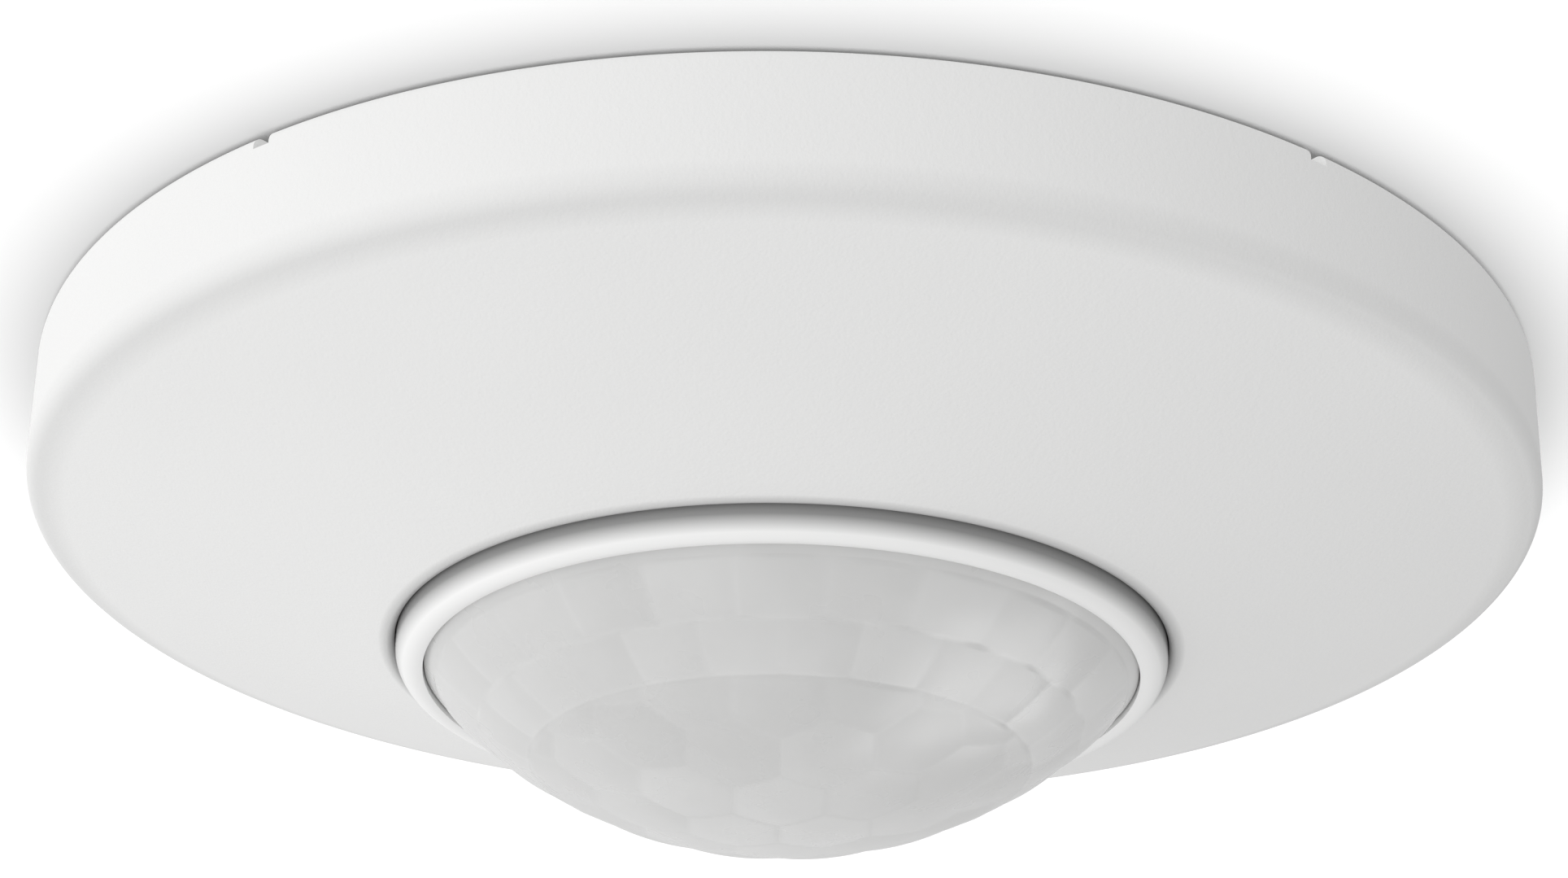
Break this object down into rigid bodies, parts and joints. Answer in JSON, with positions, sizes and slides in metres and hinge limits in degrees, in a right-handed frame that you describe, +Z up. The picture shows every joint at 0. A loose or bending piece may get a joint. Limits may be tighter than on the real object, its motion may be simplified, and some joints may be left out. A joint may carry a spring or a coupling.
{
  "type": "ceiling motion sensor",
  "caption": "Round ceiling motion sensor: shallow conical pull-off cover, beaded ring and faceted dome lens on a plug-in head over a flush load unit.",
  "frame": {"origin": "centre of the box screw pattern, in the ceiling plane, on the sensor's axis", "axes": "+Z up into the ceiling, away from the room; the lens points down -Z; the open box screw slots lie along X and Y"},
  "size_m": [0.128, 0.128, 0.0656],
  "materials": {
    "cover_plastic": "fine spark-eroded satin, pure white",
    "lens_plastic": "milky translucent polyethylene, moulded facets",
    "shell_plastic": "satin white",
    "grey_plastic": "satin light grey",
    "dark_plastic": "matt black",
    "terminal_plastic": "matt dark grey",
    "orange_plastic": "satin orange",
    "blue_plastic": "satin blue",
    "red_plastic": "gloss red",
    "zinc_steel": "zinc plated",
    "can_metal": "nickel plated",
    "brass_metal": "bright",
    "board": "solder mask over glass epoxy",
    "copper_coil": "yellow coil tape",
    "dark_window": "polished infrared filter"
  },
  "bodies": {
    "load_unit": {"support_ring": "zinc_steel", "load_housing": "grey_plastic", "load_lid": "grey_plastic", "lid_screws": "zinc_steel", "housing_screws": "zinc_steel", "power_board": "board", "relay": "blue_plastic", "transformer_core": "dark_plastic", "transformer_coil": "copper_coil", "capacitors": "dark_plastic", "varistor": "blue_plastic", "fuse": "dark_plastic", "socket_strip": "dark_plastic", "terminal_block": "terminal_plastic", "terminal_bars": "brass_metal", "terminal_springs": "zinc_steel"},
    "release_1": {"release_button_1": "orange_plastic"},
    "release_2": {"release_button_2": "orange_plastic"},
    "release_3": {"release_button_3": "orange_plastic"},
    "release_4": {"release_button_4": "orange_plastic"},
    "sensor_head": {"head_back": "shell_plastic", "head_front": "shell_plastic", "head_screws": "zinc_steel", "sensor_board": "board", "header_strip": "dark_plastic", "header_pins": "brass_metal", "microcontroller": "dark_plastic", "light_baffle": "shell_plastic", "sensor_holder": "grey_plastic", "infrared_sensors": "can_metal", "infrared_filters": "dark_window", "light_sensor": "dark_window", "status_light": "red_plastic", "dip_body": "red_plastic", "button_body": "dark_plastic", "dial_bodies": "blue_plastic", "lens": "lens_plastic", "lens_ring": "cover_plastic"},
    "time_setting": {"time_dial": "shell_plastic"},
    "light_setting": {"light_dial": "shell_plastic"},
    "range_setting": {"range_dial": "shell_plastic"},
    "dip_1": {"dip_lever_1": "shell_plastic"},
    "dip_2": {"dip_lever_2": "shell_plastic"},
    "dip_3": {"dip_lever_3": "shell_plastic"},
    "dip_4": {"dip_lever_4": "shell_plastic"},
    "learn": {"learn_button": "shell_plastic"},
    "cover_body": {"cover": "cover_plastic"}
  },
  "joints": [
    {"name": "head_unplug", "type": "slide", "parent": "load_unit", "child": "sensor_head", "axis": [0, 0, -1], "range_m": [0, 0.02]},
    {"name": "cover_pull", "type": "slide", "parent": "sensor_head", "child": "cover_body", "axis": [0, 0, -1], "range_m": [0, 0.03]},
    {"name": "release_press_1", "type": "slide", "parent": "load_unit", "child": "release_1", "axis": [0, 0, -1], "range_m": [0, 0.0012], "stiffness_N_per_m": 1500, "springref_m": -0.0004},
    {"name": "release_press_2", "type": "slide", "parent": "load_unit", "child": "release_2", "axis": [0, 0, -1], "range_m": [0, 0.0012], "stiffness_N_per_m": 1500, "springref_m": -0.0004},
    {"name": "release_press_3", "type": "slide", "parent": "load_unit", "child": "release_3", "axis": [0, 0, -1], "range_m": [0, 0.0012], "stiffness_N_per_m": 1500, "springref_m": -0.0004},
    {"name": "release_press_4", "type": "slide", "parent": "load_unit", "child": "release_4", "axis": [0, 0, -1], "range_m": [0, 0.0012], "stiffness_N_per_m": 1500, "springref_m": -0.0004},
    {"name": "time_turn", "type": "hinge", "parent": "sensor_head", "child": "time_setting", "pos_m": [-0.0171, -0.03505, -0.0115], "axis": [0, 0, 1], "range_deg": [-135, 135]},
    {"name": "light_turn", "type": "hinge", "parent": "sensor_head", "child": "light_setting", "pos_m": [0, -0.039, -0.0115], "axis": [0, 0, 1], "range_deg": [-135, 135]},
    {"name": "range_turn", "type": "hinge", "parent": "sensor_head", "child": "range_setting", "pos_m": [0.0171, -0.03505, -0.0115], "axis": [0, 0, 1], "range_deg": [-135, 135]},
    {"name": "dip_slide_1", "type": "slide", "parent": "sensor_head", "child": "dip_1", "axis": [0, 1, 0], "range_m": [0, 0.0016]},
    {"name": "dip_slide_2", "type": "slide", "parent": "sensor_head", "child": "dip_2", "axis": [0, 1, 0], "range_m": [0, 0.0016]},
    {"name": "dip_slide_3", "type": "slide", "parent": "sensor_head", "child": "dip_3", "axis": [0, 1, 0], "range_m": [0, 0.0016]},
    {"name": "dip_slide_4", "type": "slide", "parent": "sensor_head", "child": "dip_4", "axis": [0, 1, 0], "range_m": [0, 0.0016]},
    {"name": "learn_press", "type": "slide", "parent": "sensor_head", "child": "learn", "axis": [0, 0, 1], "range_m": [0, 0.0004], "stiffness_N_per_m": 2500, "springref_m": -0.0002}
  ]
}
